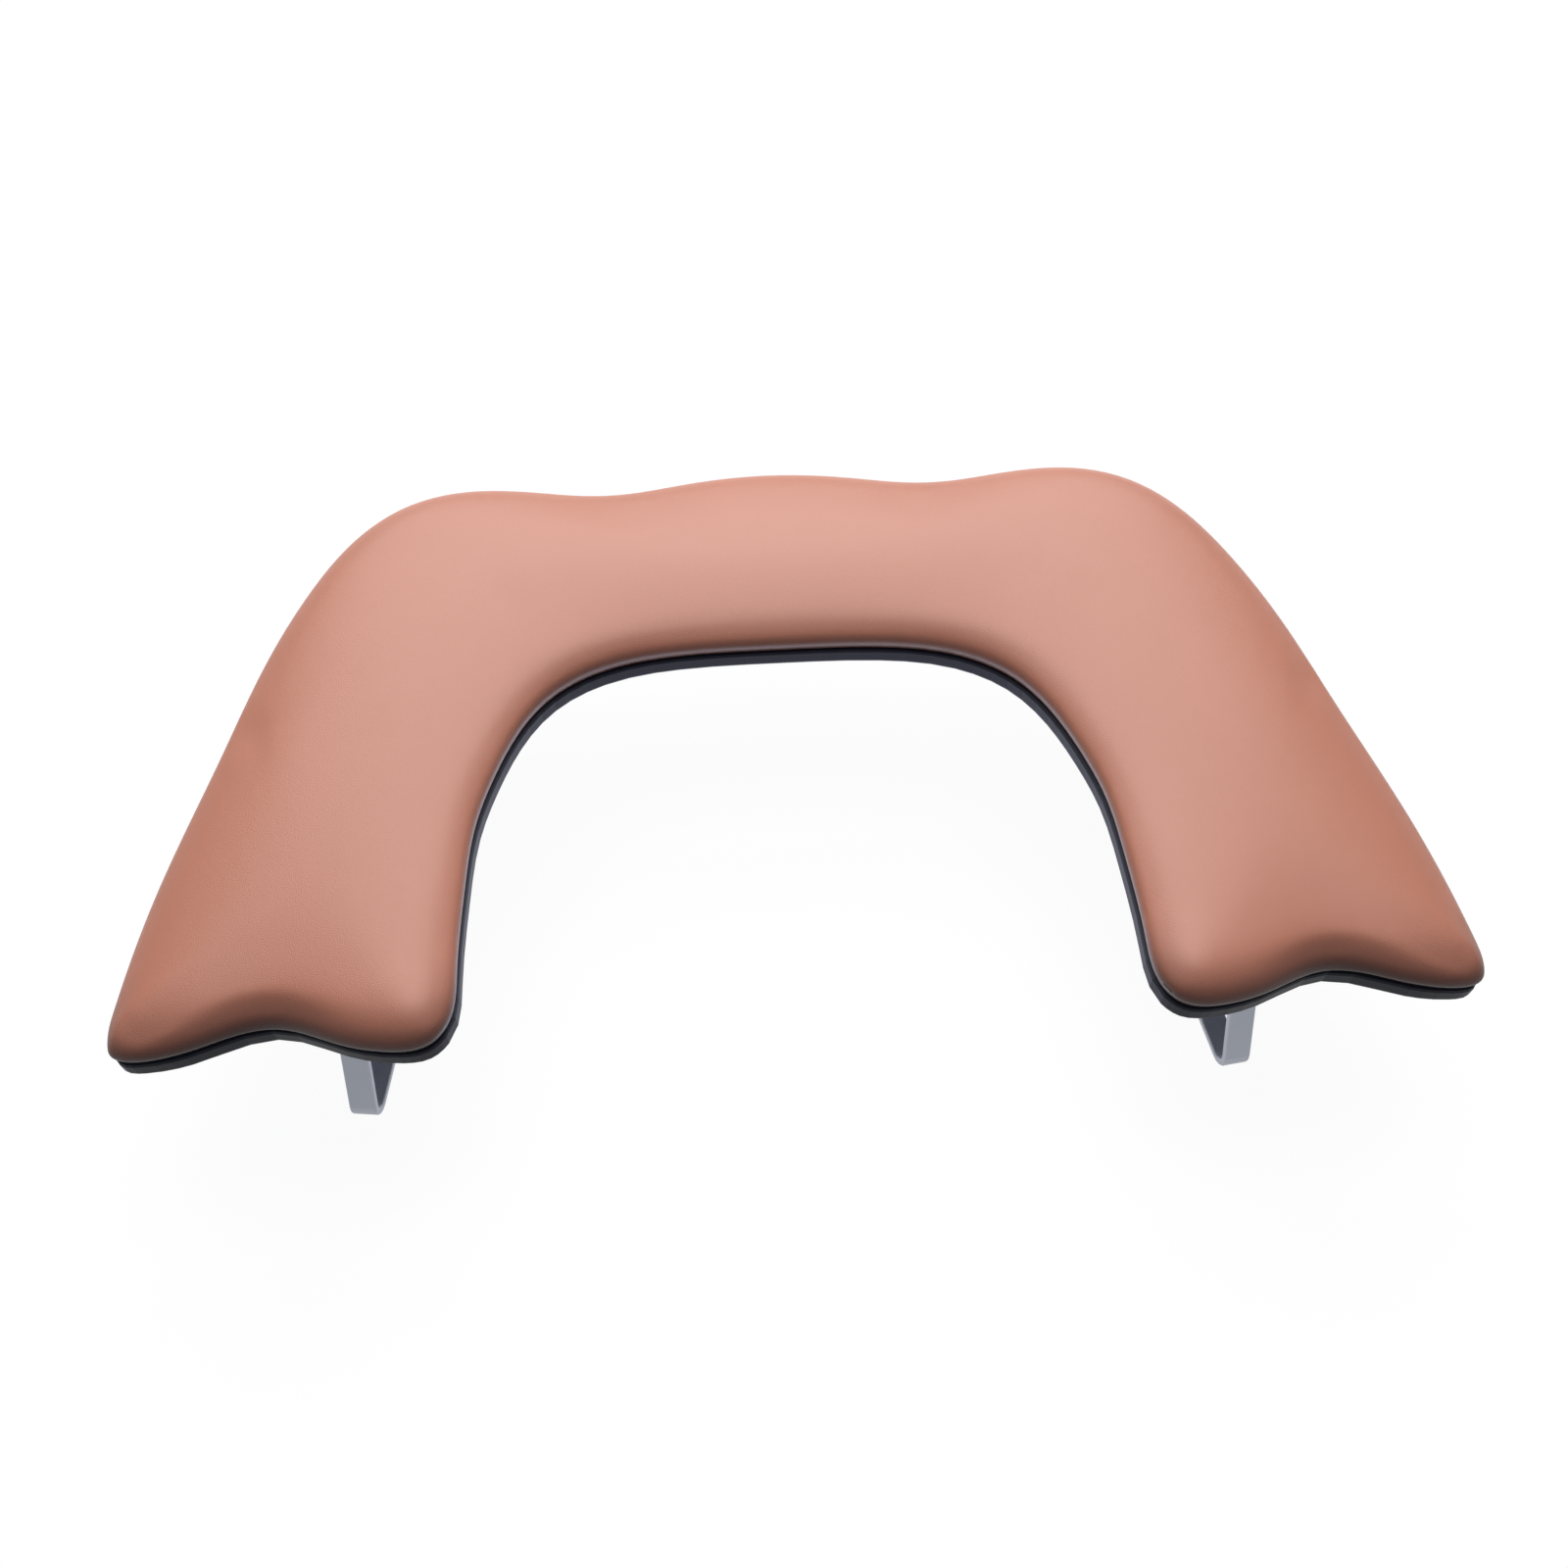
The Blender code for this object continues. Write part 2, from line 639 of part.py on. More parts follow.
def main():
    clear_scene()
    parts = new_collection(OBJECT_NAME)
    cutters = new_collection("cutters")
    leatherette = make_material("dusty_pink_leatherette", (208, 148, 130), 0.5)
    foam = make_material("foam", (236, 226, 190), 0.9)
    plywood = make_material("plywood", (196, 160, 116), 0.7)
    lacquer = make_material("dark_lacquer", (42, 44, 56), 0.4)
    steel = make_material("silver_grey_steel", (176, 180, 184), 0.4, 0.6)
    zinc = make_material("zinc_plated_steel", (190, 190, 186), 0.35, 1.0)
    rubber = make_material("black_rubber", (28, 28, 30), 0.8)
    make_cover(leatherette, parts)
    make_foam(foam, parts)
    make_panel(plywood, parts, cutters)
    make_board(lacquer, parts, cutters)
    for prefix, side in (("left", -1), ("right", 1)):
        make_bracket(prefix + "_leg_bracket", side, steel, parts, cutters)
        make_foot_pads(prefix, side, rubber, parts)
    make_screws(zinc, parts)


main()
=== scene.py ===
"""A manicure hand rest: a U-shaped leatherette arm pad on a lacquered board with two bent strip brackets."""
import json
import math

import bmesh
import bpy
import numpy as np
from mathutils import Matrix, Vector

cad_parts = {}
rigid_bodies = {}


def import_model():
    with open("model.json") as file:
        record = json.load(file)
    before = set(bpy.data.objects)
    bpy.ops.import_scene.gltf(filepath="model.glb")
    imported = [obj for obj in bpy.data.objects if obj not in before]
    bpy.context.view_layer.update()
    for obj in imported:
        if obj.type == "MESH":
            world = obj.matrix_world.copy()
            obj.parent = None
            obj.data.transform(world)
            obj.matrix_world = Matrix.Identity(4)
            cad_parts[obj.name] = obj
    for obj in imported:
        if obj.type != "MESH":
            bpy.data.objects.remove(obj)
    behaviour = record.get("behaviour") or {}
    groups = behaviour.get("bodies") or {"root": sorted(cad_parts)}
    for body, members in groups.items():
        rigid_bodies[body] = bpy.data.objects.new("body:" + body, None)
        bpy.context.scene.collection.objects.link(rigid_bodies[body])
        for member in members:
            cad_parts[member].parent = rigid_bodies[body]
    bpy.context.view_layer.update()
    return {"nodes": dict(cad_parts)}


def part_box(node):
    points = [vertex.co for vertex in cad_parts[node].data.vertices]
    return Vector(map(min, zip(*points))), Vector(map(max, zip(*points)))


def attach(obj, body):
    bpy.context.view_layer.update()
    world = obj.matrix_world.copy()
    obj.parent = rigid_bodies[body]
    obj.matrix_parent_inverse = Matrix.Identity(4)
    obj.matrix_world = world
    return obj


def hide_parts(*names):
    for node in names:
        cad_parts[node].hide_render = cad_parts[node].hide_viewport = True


# Camera
PHOTO_WIDTH = 1600
FOCAL_PIXELS = 1350
SENSOR_WIDTH = 36.0
CAMERA_PLACE = (-0.0222, -0.35335, 0.5256)
CAMERA_DOWN = math.radians(35.8)
CAMERA_TURN = math.radians(-3.52)

# Studio: the floor, the light that it throws back by depth, and a light card that lies in the gap between
# the arms and only casts light. The card fades over depths in metres, and to its sides over square metres
FLOOR_SIZE = 8.0
FLOOR_COLOUR = (255, 255, 255)
BOUNCE_FRONT = (-0.22, (50, 54, 66))
BOUNCE_BACK = (-0.04, (238, 242, 252))
FLOOR_GLOW = 1.035
CARD_COLOUR = (232, 234, 255)
CARD_GLOW = 3.0
CARD_GLOSSY_SHARE = 0.50
CARD_SOFT_SHARE = 0.20
CARD_FRONT = (-0.20, -0.06)
CARD_BACK = (0.04, 0.10)
CARD_SIDES = (0.008, 0.020)
SHADOW_SHARE = 0.08
GLOSSY_SHARE = 0.85
SKY_GLOSSY_SHARE = 0.30
SKY_COLOUR = (180, 195, 245)
SKY_STRENGTH = 0.07
LAMPS = [
    ("top_softbox", (0.0, 0.35, 1.55), (0.0, 0.0, 0.08), (1.4, 0.7), 11.3, (255, 252, 250)),
    ("back_softbox", (0.0, 1.90, 1.68), (0.0, 0.02, 0.08), (2.8, 1.4), 53.0, (255, 253, 252)),
]

# Meshes: how close points are joined, how close heights count as level, the bend at which an edge is sharp,
# and how many rounds bring a smooth surface to its points
WELD_GAP = 0.00002
LEVEL_GAP = 0.0001
SHARP_ANGLE = math.radians(40)
FIT_ROUNDS = 4
TINY = 1e-9

# Leatherette cover: its thickness, how high above the board its widest line runs, the bend at which its
# outside ends at the hem, and how much bend and skew two triangles may have to become one face
COVER_THICKNESS = 0.0010
COVER_SIDE = 0.0050
HEM_EDGE_ANGLE = math.radians(70)
PAIR_FOLD = math.radians(60)
PAIR_SKEW = math.radians(90)

# Swelling of the cover, as a cloth that is held at its fold: its slack, the most that a point moves, how
# long it swells, and the height over which it comes free
SLACK = 0.0010
SWELL_CAP = 0.0030
SWELL_FRAMES = 20
HELD_BLEND = 0.0060
CLOTH = {
    "quality": 6,
    "mass": 0.3,
    "tension_stiffness": 40,
    "compression_stiffness": 40,
    "shear_stiffness": 20,
    "bending_stiffness": 4,
    "use_pressure": True,
    "uniform_pressure_force": 4.0,
}

# How the pad falls away at the arm tips: down to the edge at the notch, and to the front on the outer lobe.
# Each fall: its place across and from the front, how far it reaches, how long its slope is, and the height
# that the slope starts from
NOTCH_FALL = (0.1950, 0.0122, 0.0260, 0.0200, 0.0034)
LOBE_FALL = (0.2360, 0.0000, 0.0360, 0.0400, 0.0060)
# The height that the slopes rise to, how round they are and how soon they rise
FLANK_TOP = 0.0160
FLANK_POWER = 2.1
FLANK_STEEPNESS = 0.80

# Painted shade on the cover, darker towards its fold all round and more at the arm tips: over which heights
# and depths
PAINTED_SHADE_FOLD_HEIGHT = (0.0868, 0.0915)
PAINTED_SHADE_FOLD = 0.60
PAINTED_SHADE_TIP_HEIGHT = (0.0862, 0.0968)
PAINTED_SHADE_TIP_DEPTH = (-0.1320, -0.1120)
PAINTED_SHADE_TIP = 0.66

# Foam block: how far it stays inside the cover, more at the arm tips, and how thin its edge may get
FOAM_SHRINK = 0.0024
FOAM_TIP_SHRINK = 0.0030
FOAM_EDGE = 0.0004

# Cross recess of the screws: its span and width, how deep it is, and how much of the span is left inside
RECESS_SPAN = 0.0042
RECESS_WIDTH = 0.0010
RECESS_DEPTH = 0.0013
RECESS_TAPER = 0.55


def linear(rgb):
    """Linear colour from 8-bit sRGB channels."""
    shares = [channel / 255 for channel in rgb]
    return tuple(s / 12.92 if s <= 0.04045 else ((s + 0.055) / 1.055) ** 2.4 for s in shares)


class Wire:
    """A value that runs through a material; arithmetic on wires adds the nodes that work it out."""

    def __init__(self, finish, socket):
        self.finish = finish
        self.socket = socket

    def math(self, operation, first, second):
        return self.finish.add("ShaderNodeMath", {"operation": operation}, {0: first, 1: second})

    def __add__(self, other):
        return self.math("ADD", self, other)

    def __mul__(self, other):
        return self.math("MULTIPLY", self, other)

    def __sub__(self, other):
        return self.math("SUBTRACT", self, other)

    def __rsub__(self, other):
        return self.math("SUBTRACT", other, self)

    __radd__ = __add__
    __rmul__ = __mul__

    def held(self, low, high):
        """This value moved from the range low..high to 0..1 and kept within it."""
        settings = {"clamp": True}
        inputs = {"Value": self, "From Min": low, "From Max": high}
        return self.finish.add("ShaderNodeMapRange", settings, inputs)


class Finish:
    """A material for one kind of surface."""

    def __init__(self, name, colour, roughness, **constants):
        self.material = bpy.data.materials.new(name)
        self.material.use_nodes = True
        self.tree = self.material.node_tree
        self.shader = self.tree.nodes["Principled BSDF"]
        self.colour = (*linear(colour), 1.0)
        self.set("Base Color", self.colour)
        self.set("Roughness", roughness)
        for socket, value in constants.items():
            self.set(socket.replace("_", " "), value)

    def set(self, socket, value):
        if isinstance(value, Wire):
            self.tree.links.new(value.socket, self.shader.inputs[socket])
        else:
            self.shader.inputs[socket].default_value = value

    def add(self, kind, settings=None, inputs=None, output=0):
        node = self.tree.nodes.new(kind)
        for name, value in (settings or {}).items():
            setattr(node, name, value)
        for name, value in (inputs or {}).items():
            if isinstance(value, Wire):
                self.tree.links.new(value.socket, node.inputs[name])
            else:
                node.inputs[name].default_value = value
        return Wire(self, node.outputs[output])

    def place(self):
        """Where a point of the surface is on its piece, in metres."""
        return self.add("ShaderNodeTexCoord", output="Object")

    def along(self, axis):
        """Where a point of the surface is along one axis of its piece, in metres."""
        return self.add("ShaderNodeSeparateXYZ", None, {"Vector": self.place()}, output="XYZ".index(axis))

    def noise(self, size, detail=3.0, roughness=0.5, where=None):
        """Cloudy noise from 0 to 1 whose blotches are about size metres across."""
        inputs = {"Vector": where or self.place(), "Scale": 1 / size, "Detail": detail}
        return self.add("ShaderNodeTexNoise", None, {**inputs, "Roughness": roughness})

    def cells(self, size, feature):
        """Rounded cells about size metres across: distance to the cell's middle or to its edge."""
        inputs = {"Vector": self.place(), "Scale": 1 / size}
        return self.add("ShaderNodeTexVoronoi", {"feature": feature}, inputs)

    def blend(self, share, first, second):
        inputs = {0: share, 6: first, 7: second}
        return self.add("ShaderNodeMix", {"data_type": "RGBA"}, inputs, output=2)

    def shade(self, factor):
        """The finish's colour made lighter or darker by a factor from 0 to 2."""
        double = (*[c * 2 for c in self.colour[:3]], 1.0)
        return self.blend(factor.held(0.0, 2.0), (0.0, 0.0, 0.0, 1.0), double)

    def relief(self, height, depth):
        """Raise and sink the surface by height times depth metres."""
        bump = self.add("ShaderNodeBump", None, {"Height": height, "Strength": 1.0, "Distance": depth})
        self.set("Normal", bump)


def leatherette():
    """Dusty pink coated cloth with a fine soft pebble and faint clouding, and painted shade towards its
    fold.
    """
    finish = Finish("dusty_pink_leatherette", (203, 133, 108), 0.5, Specular_IOR_Level=0.65)
    pebble = finish.cells(size=0.00075, feature="DISTANCE_TO_EDGE").held(0.0, 0.25)
    crease = finish.noise(size=0.0022, detail=4.0, roughness=0.6)
    cloud = finish.noise(size=0.060, detail=2.0)
    # Painted shade: the colour darkens towards the fold all round, and more at the arm tips
    tip = (1 - finish.along("Z").held(*PAINTED_SHADE_TIP_HEIGHT)) * (1 - finish.along("Y").held(*PAINTED_SHADE_TIP_DEPTH))
    fold = 1 - finish.along("Z").held(*PAINTED_SHADE_FOLD_HEIGHT)
    mottle = 1.0 + (cloud - 0.5) * 0.06 + (pebble - 0.7) * 0.03
    finish.set("Base Color", finish.shade(mottle * (1 - tip * PAINTED_SHADE_TIP) * (1 - fold * PAINTED_SHADE_FOLD)))
    finish.set("Roughness", 0.42 - pebble * 0.04 + (crease - 0.5) * 0.06)
    finish.relief(pebble * 0.6 + crease * 0.5, depth=0.00005)
    return finish.material


def foam():
    finish = Finish("open_cell_foam", (236, 226, 190), 0.9)
    pores = finish.cells(size=0.0011, feature="F1")
    finish.set("Base Color", finish.shade(1.08 - pores * 0.25))
    finish.relief(pores, depth=0.0003)
    return finish.material


def plywood():
    finish = Finish("thin_plywood", (196, 160, 116), 0.65)
    stretched = finish.add("ShaderNodeMapping", None, {"Vector": finish.place(), "Scale": (1.0, 14.0, 14.0)})
    grain = finish.noise(size=0.030, detail=5.0, roughness=0.6, where=stretched)
    finish.set("Base Color", finish.shade(0.86 + grain * 0.28))
    finish.set("Roughness", 0.6 + grain * 0.12)
    finish.relief(grain, depth=0.00008)
    return finish.material


def dark_lacquer():
    """Dark blue-grey lacquer with a slight orange peel."""
    finish = Finish("dark_lacquer", (38, 40, 54), 0.5, Specular_IOR_Level=0.22)
    peel = finish.noise(size=0.0028, detail=2.0)
    cloud = finish.noise(size=0.050, detail=3.0)
    finish.set("Base Color", finish.shade(0.96 + cloud * 0.08))
    finish.set("Roughness", 0.46 + cloud * 0.08)
    finish.relief(peel, depth=0.00004)
    return finish.material


def silver_coat():
    """Silver-grey powder coat on steel, with the fine spatter that such coats dry to."""
    finish = Finish("silver_powder_coat", (210, 215, 225), 0.42, Metallic=0.55)
    spatter = finish.noise(size=0.0009, detail=3.0, roughness=0.6)
    cloud = finish.noise(size=0.020, detail=2.0)
    finish.set("Base Color", finish.shade(0.97 + (spatter - 0.5) * 0.08 + (cloud - 0.5) * 0.05))
    finish.set("Roughness", 0.38 + spatter * 0.1)
    finish.relief(spatter, depth=0.00004)
    return finish.material


def zinc():
    finish = Finish("zinc_plate", (196, 196, 190), 0.32, Metallic=1.0)
    bloom = finish.noise(size=0.0016, detail=4.0, roughness=0.6)
    finish.set("Base Color", finish.shade(0.92 + bloom * 0.14))
    finish.set("Roughness", 0.26 + bloom * 0.16)
    finish.relief(bloom, depth=0.00002)
    return finish.material


def black_rubber():
    finish = Finish("black_rubber", (34, 34, 36), 0.82)
    grit = finish.noise(size=0.0008, detail=4.0, roughness=0.7)
    finish.set("Base Color", finish.shade(0.92 + grit * 0.16))
    finish.set("Roughness", 0.76 + grit * 0.12)
    finish.relief(grit, depth=0.00006)
    return finish.material


def dress(piece, material):
    piece.data.materials.clear()
    piece.data.materials.append(material)


def new_piece(name, mesh, material):
    piece = bpy.data.objects.new(name, mesh)
    bpy.context.scene.collection.objects.link(piece)
    dress(piece, material)
    return piece


def points_of(mesh):
    places = np.zeros(len(mesh.vertices) * 3)
    mesh.vertices.foreach_get("co", places)
    return places.reshape(-1, 3)


def baked(piece):
    """The piece's mesh with its modifiers worked in, put back on the piece without them."""
    bpy.context.view_layer.update()
    shown = piece.evaluated_get(bpy.context.evaluated_depsgraph_get())
    mesh = bpy.data.meshes.new_from_object(shown)
    piece.modifiers.clear()
    piece.data = mesh
    return mesh


def outer_skin(node):
    """The outside of the cover, from the crown round the fold to the cut edge of its hem."""
    skin = bmesh.new()
    skin.from_mesh(node.data)
    bmesh.ops.remove_doubles(skin, verts=skin.verts, dist=WELD_GAP)
    bmesh.ops.recalc_face_normals(skin, faces=skin.faces)
    start = max(skin.faces, key=lambda face: face.calc_center_median().z)
    kept = {start}
    front = [start]
    while front:
        face = front.pop()
        for edge in face.edges:
            if len(edge.link_faces) != 2 or edge.calc_face_angle() > HEM_EDGE_ANGLE:
                continue
            for beside in edge.link_faces:
                if beside not in kept:
                    kept.add(beside)
                    front.append(beside)
    bmesh.ops.delete(skin, geom=[face for face in skin.faces if face not in kept], context="FACES")
    bmesh.ops.join_triangles(
        skin,
        faces=skin.faces,
        angle_face_threshold=PAIR_FOLD,
        angle_shape_threshold=PAIR_SKEW,
        topology_influence=1.0,
    )
    mesh = bpy.data.meshes.new("leatherette_cushion")
    skin.to_mesh(mesh)
    skin.free()
    return mesh


def subdivide(piece, levels):
    """Subdivide smoothly through the piece's points, which are pushed out until the surface meets them."""
    count = len(piece.data.vertices)
    wanted = points_of(piece.data)
    cage = wanted.copy()
    smooth = piece.modifiers.new("subdivision", "SUBSURF")
    smooth.levels = 1
    smooth.render_levels = 1
    for _ in range(FIT_ROUNDS):
        bpy.context.view_layer.update()
        shown = piece.evaluated_get(bpy.context.evaluated_depsgraph_get())
        cage += wanted - points_of(shown.data)[:count]
        piece.data.vertices.foreach_set("co", cage.ravel())
        piece.data.update()
    smooth.levels = levels
    smooth.render_levels = levels
    return baked(piece)


def widest_line(mesh):
    """Which points of the cover are on or above its widest line, and that line as short straight runs."""
    low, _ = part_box("leather_cover")
    places = points_of(mesh)
    height = places[:, 2] - low.z - COVER_SIDE
    on_line = np.abs(height) < LEVEL_GAP
    ends = np.array([edge.vertices[:] for edge in mesh.edges])
    runs = ends[on_line[ends].all(axis=1)]
    return height > -LEVEL_GAP, places[runs][:, :, :2]


def distance_to(places, runs):
    """Shortest distance in plan from each place to a line given as straight runs."""
    start, along = runs[:, 0], runs[:, 1] - runs[:, 0]
    offset = places[:, None, :2] - start[None, :, :]
    share = np.clip((offset * along).sum(axis=2) / (along * along).sum(axis=1), 0.0, 1.0)
    nearest = offset - share[:, :, None] * along
    return np.sqrt((nearest**2).sum(axis=2).min(axis=1))


def settle_tips(mesh, crown, line):
    """Let the pad slope down at each arm tip; gives how much of that each point takes part in."""
    low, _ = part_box("leather_cover")
    places = points_of(mesh)
    height = places[:, 2] - low.z
    inward = distance_to(places, line)
    from_front = places[:, 1] - low.y
    tip = np.zeros(len(places))
    for fall, distance in ((NOTCH_FALL, inward), (LOBE_FALL, from_front)):
        x, y, reach, length, base = fall
        away = (np.abs(places[:, 0]) - x) ** 2 + (from_front - y) ** 2
        near = np.exp(-away / reach**2)
        run = 1 - (1 - np.clip(distance / length, 0.0, 1.0)) ** FLANK_POWER
        flank = base + (FLANK_TOP - base) * run**FLANK_STEEPNESS
        folded = height * min(1.0, base / COVER_SIDE)
        wanted = np.where(crown, np.minimum(flank, height), folded)
        height = height + near * (wanted - height)
        tip = np.maximum(tip, near)
    places[:, 2] = low.z + height
    mesh.vertices.foreach_set("co", places.ravel())
    mesh.update()
    return tip


def draw_in(mesh, widest):
    """Start the cover a little slack of its size above the widest line, so that swelling brings it back."""
    mesh.update()
    normals = np.zeros(len(mesh.vertices) * 3)
    mesh.vertices.foreach_get("normal", normals)
    places = points_of(mesh)
    free = np.clip((places[:, 2] - widest) / HELD_BLEND, 0.0, 1.0)
    drawn = places - normals.reshape(-1, 3) * (SLACK * free)[:, None]
    mesh.vertices.foreach_set("co", drawn.ravel())
    return free


def swell(cushion, free):
    """Blow the cover up like a filled cushion, held at its fold, and stop each point at the cap."""
    rest = points_of(cushion.data)
    held = cushion.vertex_groups.new(name="held")
    for index, share in enumerate(free):
        held.add([index], 1.0 - float(share), "REPLACE")
    cloth = cushion.modifiers.new("cloth", "CLOTH")
    for setting, value in CLOTH.items():
        setattr(cloth.settings, setting, value)
    cloth.settings.vertex_group_mass = held.name
    cloth.settings.effector_weights.gravity = 0.0
    scene = bpy.context.scene
    scene.frame_start = 1
    scene.frame_end = SWELL_FRAMES
    for frame_number in range(1, SWELL_FRAMES + 1):
        scene.frame_set(frame_number)
    blown = points_of(baked(cushion))
    scene.frame_set(1)
    cushion.vertex_groups.clear()
    moved = blown - rest
    reach = np.linalg.norm(moved, axis=1)
    share = np.minimum(1.0, SWELL_CAP / np.maximum(reach, TINY))
    cushion.data.vertices.foreach_set("co", (rest + moved * share[:, None]).ravel())
    cushion.data.update()


def make_cushion(frame, material, filling):
    """The leatherette cover, filled out over its foam."""
    node = frame["nodes"]["leather_cover"]
    low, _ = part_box("leather_cover")
    cushion = new_piece("leatherette_cushion", outer_skin(node), material)
    subdivide(cushion, 1)
    crown, line = widest_line(cushion.data)
    tip = settle_tips(cushion.data, crown, line)
    swell(cushion, draw_in(cushion.data, low.z + COVER_SIDE))
    make_foam(cushion.data, crown, tip, filling)
    subdivide(cushion, 1)
    wall = cushion.modifiers.new("wall", "SOLIDIFY")
    wall.thickness = COVER_THICKNESS
    wall.offset = -1.0
    baked(cushion)
    places = points_of(cushion.data)
    places[:, 2] = np.maximum(places[:, 2], low.z)
    cushion.data.vertices.foreach_set("co", places.ravel())
    cushion.data.shade_smooth()
    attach(cushion, "root")
    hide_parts("leather_cover")


def make_foam(skin, crown, tip, material):
    """The foam block under the cover: the skin's crown drawn in, more so at the arm tips, and flat below."""
    floor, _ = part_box("foam_core")
    block = bmesh.new()
    block.from_mesh(skin)
    block.verts.ensure_lookup_table()
    normals = [vert.normal.copy() for vert in block.verts]
    for vert, normal, kept, near in zip(list(block.verts), normals, crown, tip):
        if kept:
            vert.co -= normal * (FOAM_SHRINK + FOAM_TIP_SHRINK * float(near))
            vert.co.z = max(vert.co.z, floor.z + FOAM_EDGE)
    below = [vert for vert, kept in zip(list(block.verts), crown) if not kept]
    bmesh.ops.delete(block, geom=below, context="VERTS")
    rim = [edge for edge in block.edges if edge.is_boundary]
    wall = bmesh.ops.extrude_edge_only(block, edges=rim)["geom"]
    for item in wall:
        if isinstance(item, bmesh.types.BMVert):
            item.co.z = floor.z
    bottom = [item for item in wall if isinstance(item, bmesh.types.BMEdge) and item.is_boundary]
    bmesh.ops.contextual_create(block, geom=bottom)
    bmesh.ops.recalc_face_normals(block, faces=block.faces)
    mesh = bpy.data.meshes.new("foam_block")
    block.to_mesh(mesh)
    block.free()
    foam_block = new_piece("foam_block", mesh, material)
    mesh.shade_smooth()
    mesh.set_sharp_from_angle(angle=SHARP_ANGLE)
    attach(foam_block, "root")
    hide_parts("foam_core")


def make_screw(node, material):
    """A screw like its solid, with a cross recess sunk in its head."""
    low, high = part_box(node.name)
    middle = (low + high) / 2
    head = bmesh.new()
    head.from_mesh(node.data)
    bmesh.ops.remove_doubles(head, verts=head.verts, dist=WELD_GAP)
    mesh = bpy.data.meshes.new("turned_" + node.name)
    head.to_mesh(mesh)
    head.free()
    screw = new_piece("turned_" + node.name, mesh, material)
    cut = bmesh.new()
    for turn in (0.0, math.pi / 2):
        made = bmesh.ops.create_cube(cut, size=1.0)["verts"]
        bmesh.ops.scale(cut, vec=(RECESS_SPAN, RECESS_WIDTH, 2 * RECESS_DEPTH), verts=made)
        for vert in made:
            if vert.co.z > 0:
                vert.co.x *= RECESS_TAPER
        bmesh.ops.rotate(cut, verts=made, matrix=Matrix.Rotation(turn, 3, "Z"))
    bmesh.ops.translate(cut, verts=cut.verts, vec=(middle.x, middle.y, low.z))
    cutter_mesh = bpy.data.meshes.new("recess")
    cut.to_mesh(cutter_mesh)
    cut.free()
    cutter = bpy.data.objects.new("recess", cutter_mesh)
    bpy.context.scene.collection.objects.link(cutter)
    sink = screw.modifiers.new("recess", "BOOLEAN")
    sink.operation = "DIFFERENCE"
    sink.solver = "EXACT"
    sink.use_self = True
    sink.object = cutter
    baked(screw)
    bpy.data.objects.remove(cutter, do_unlink=True)
    screw.data.shade_smooth()
    screw.data.set_sharp_from_angle(angle=SHARP_ANGLE)
    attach(screw, "root")
    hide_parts(node.name)


def make_studio():
    """A white floor with a faint shadow, a light card in the gap, a dim sky and two soft lamps."""
    mesh = bpy.data.meshes.new("floor")
    half = FLOOR_SIZE / 2
    rim = [(-half, -half, 0), (half, -half, 0), (half, half, 0), (-half, half, 0)]
    mesh.from_pydata(rim, [], [(0, 1, 2, 3)])
    finish = Finish("white_floor", FLOOR_COLOUR, 0.9, Specular_IOR_Level=0.0)
    floor = new_piece("floor", mesh, finish.material)
    camera_ray = finish.add("ShaderNodeLightPath", output="Is Camera Ray")
    glossy_ray = finish.add("ShaderNodeLightPath", output="Is Glossy Ray")
    clear_ray = finish.add("ShaderNodeLightPath", output="Is Transmission Ray")
    depth = finish.along("Y")
    aside = finish.along("X") * finish.along("X")
    (front, dim), (back, bright) = BOUNCE_FRONT, BOUNCE_BACK
    bounce = finish.blend(depth.held(front, back), (*linear(dim), 1.0), (*linear(bright), 1.0))
    finish.set("Base Color", finish.blend(camera_ray, bounce, finish.colour))
    glow = finish.add("ShaderNodeEmission", None, {"Color": (1.0, 1.0, 1.0, 1.0), "Strength": FLOOR_GLOW})
    body = Wire(finish, finish.shader.outputs[0])
    seen = camera_ray * (1 - SHADOW_SHARE) + glossy_ray * GLOSSY_SHARE + clear_ray
    plain = finish.add("ShaderNodeMixShader", None, {0: seen, 1: body, 2: glow})
    soft_ray = finish.add("ShaderNodeLightPath", output="Is Diffuse Ray")
    card_colour = (*linear(CARD_COLOUR), 1.0)
    card = finish.add("ShaderNodeEmission", None, {"Color": card_colour, "Strength": CARD_GLOW})
    card_area = depth.held(*CARD_FRONT) * (1 - depth.held(*CARD_BACK)) * (1 - aside.held(*CARD_SIDES))
    cast = card_area * (glossy_ray * CARD_GLOSSY_SHARE + soft_ray * CARD_SOFT_SHARE)
    shown = finish.add("ShaderNodeMixShader", None, {0: cast, 1: plain, 2: card})
    finish.tree.links.new(shown.socket, finish.tree.nodes["Material Output"].inputs["Surface"])
    make_sky()
    for name, place, target, size, power, colour in LAMPS:
        lamp(name, place, target, size, power, colour)


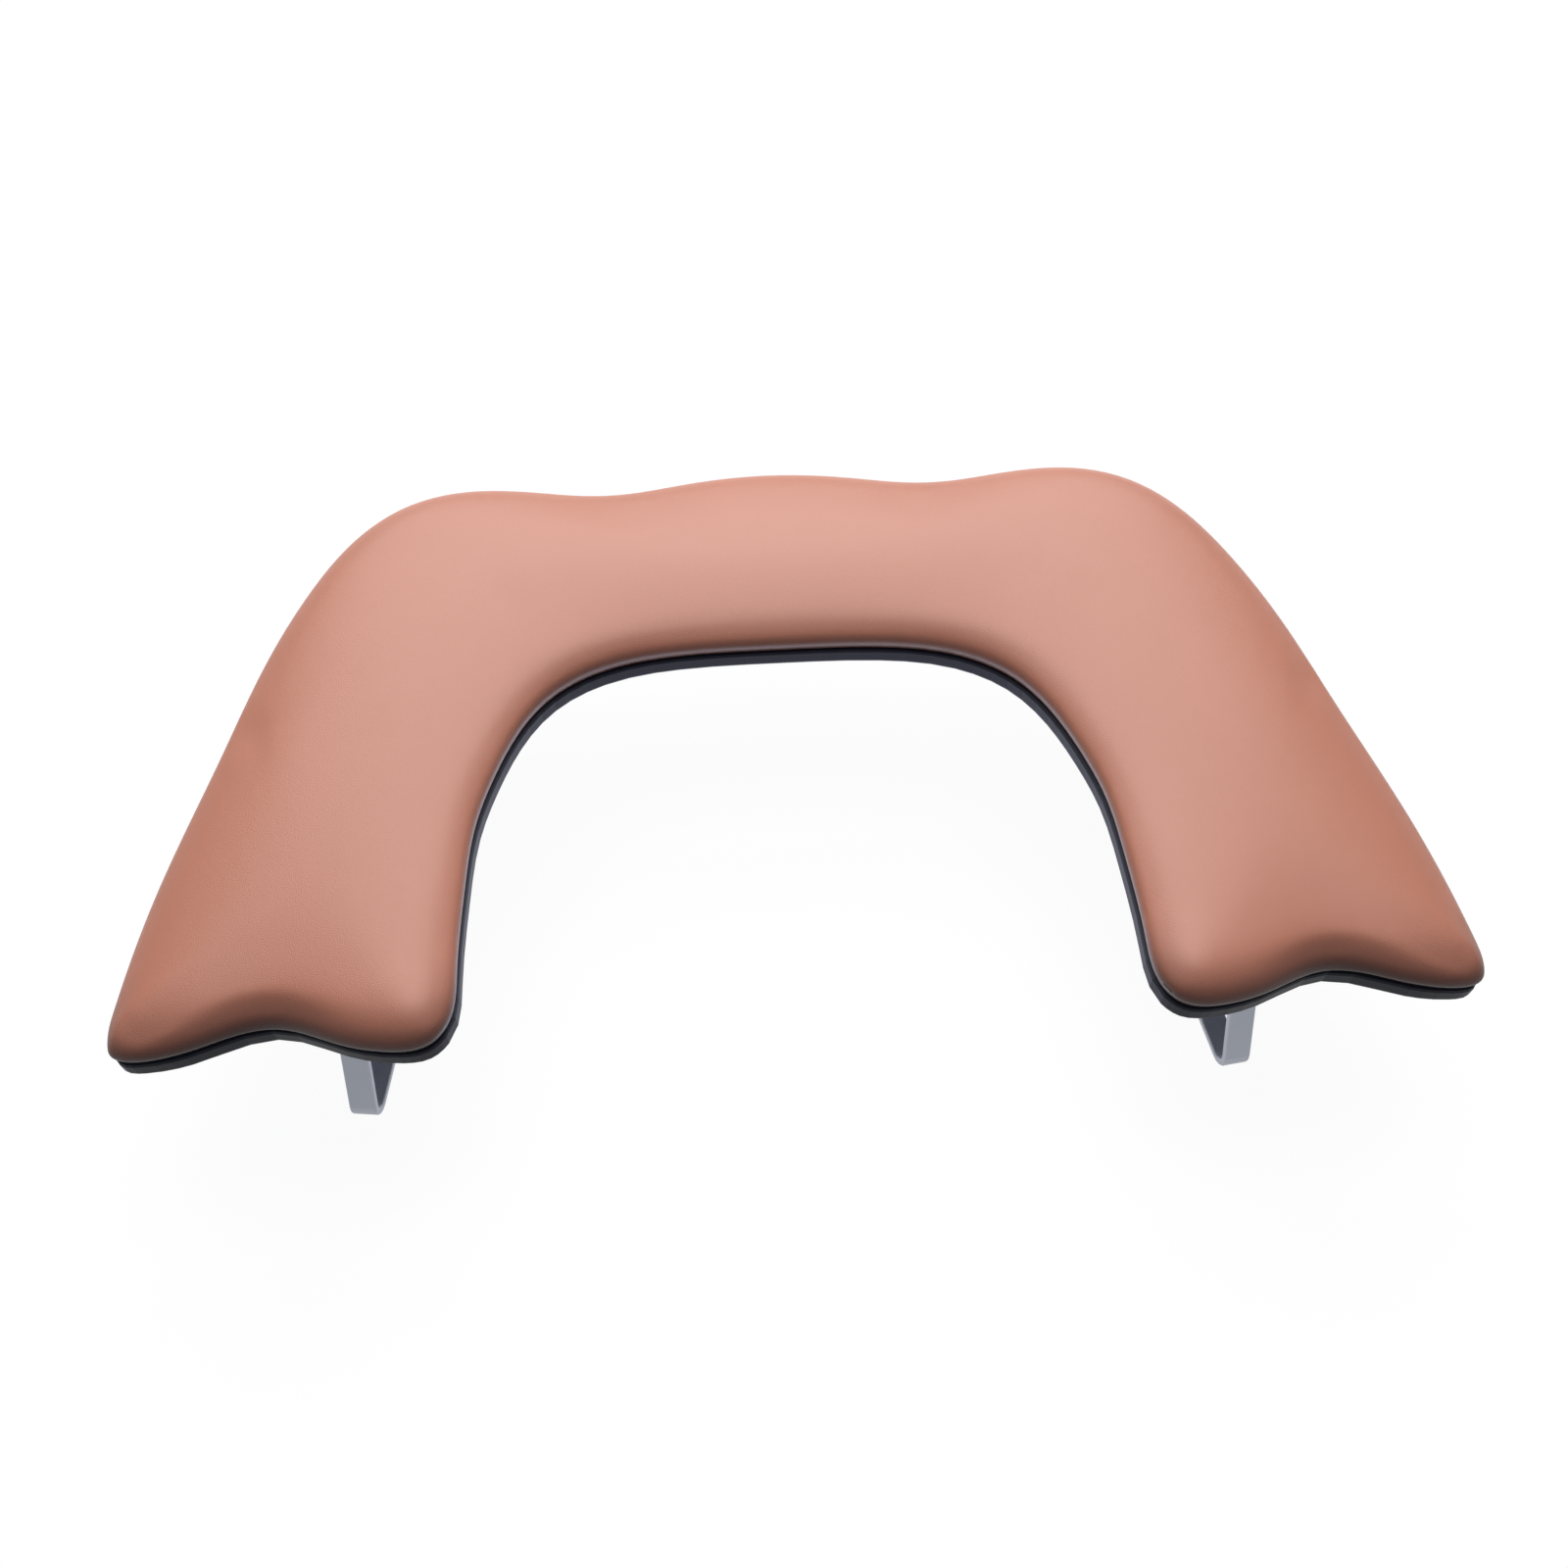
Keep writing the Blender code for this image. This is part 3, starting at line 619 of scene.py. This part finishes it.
def make_sky():
    """A dim sky for its light, which the camera sees as white and which is partly white in reflections."""
    world = bpy.data.worlds.new("sky")
    bpy.context.scene.world = world
    world.use_nodes = True
    nodes = world.node_tree.nodes
    links = world.node_tree.links
    soft = nodes["Background"]
    soft.inputs["Color"].default_value = (*linear(SKY_COLOUR), 1.0)
    soft.inputs["Strength"].default_value = SKY_STRENGTH
    white = nodes.new("ShaderNodeBackground")
    white.inputs["Color"].default_value = (1.0, 1.0, 1.0, 1.0)
    path = nodes.new("ShaderNodeLightPath")
    mix = nodes.new("ShaderNodeMixShader")
    seen = nodes.new("ShaderNodeMath")
    seen.operation = "MULTIPLY_ADD"
    seen.inputs[1].default_value = SKY_GLOSSY_SHARE
    links.new(path.outputs["Is Glossy Ray"], seen.inputs[0])
    links.new(path.outputs["Is Camera Ray"], seen.inputs[2])
    shown = nodes.new("ShaderNodeMath")
    shown.operation = "ADD"
    links.new(seen.outputs[0], shown.inputs[0])
    links.new(path.outputs["Is Transmission Ray"], shown.inputs[1])
    links.new(shown.outputs[0], mix.inputs[0])
    links.new(soft.outputs[0], mix.inputs[1])
    links.new(white.outputs[0], mix.inputs[2])
    links.new(mix.outputs[0], nodes["World Output"].inputs["Surface"])


def lamp(name, place, target, size, power, colour):
    light = bpy.data.lights.new(name, "AREA")
    light.shape = "RECTANGLE"
    light.size, light.size_y = size
    light.energy = power
    light.color = linear(colour)
    holder = bpy.data.objects.new(name, light)
    bpy.context.scene.collection.objects.link(holder)
    holder.location = place
    aim = Vector(target) - Vector(place)
    holder.rotation_euler = aim.to_track_quat("-Z", "Y").to_euler()


def make_camera():
    lens = bpy.data.cameras.new("camera")
    lens.sensor_width = SENSOR_WIDTH
    lens.lens = FOCAL_PIXELS / PHOTO_WIDTH * SENSOR_WIDTH
    camera = bpy.data.objects.new("camera", lens)
    bpy.context.scene.collection.objects.link(camera)
    camera.location = CAMERA_PLACE
    camera.rotation_euler = (CAMERA_DOWN, 0.0, CAMERA_TURN)
    bpy.context.scene.camera = camera


def main():
    for existing in list(bpy.data.objects):
        bpy.data.objects.remove(existing, do_unlink=True)
    bpy.context.scene.view_settings.view_transform = "Standard"
    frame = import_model()
    nodes = frame["nodes"]
    steel = silver_coat()
    plating = zinc()
    rubber = black_rubber()
    dress(nodes["base_board"], dark_lacquer())
    dress(nodes["cushion_panel"], plywood())
    for name, node in nodes.items():
        if name.endswith("leg_bracket"):
            dress(node, steel)
        elif "screw" in name:
            make_screw(node, plating)
        elif name.endswith("foot_pad"):
            dress(node, rubber)
    make_cushion(frame, leatherette(), foam())
    make_studio()
    make_camera()


main()
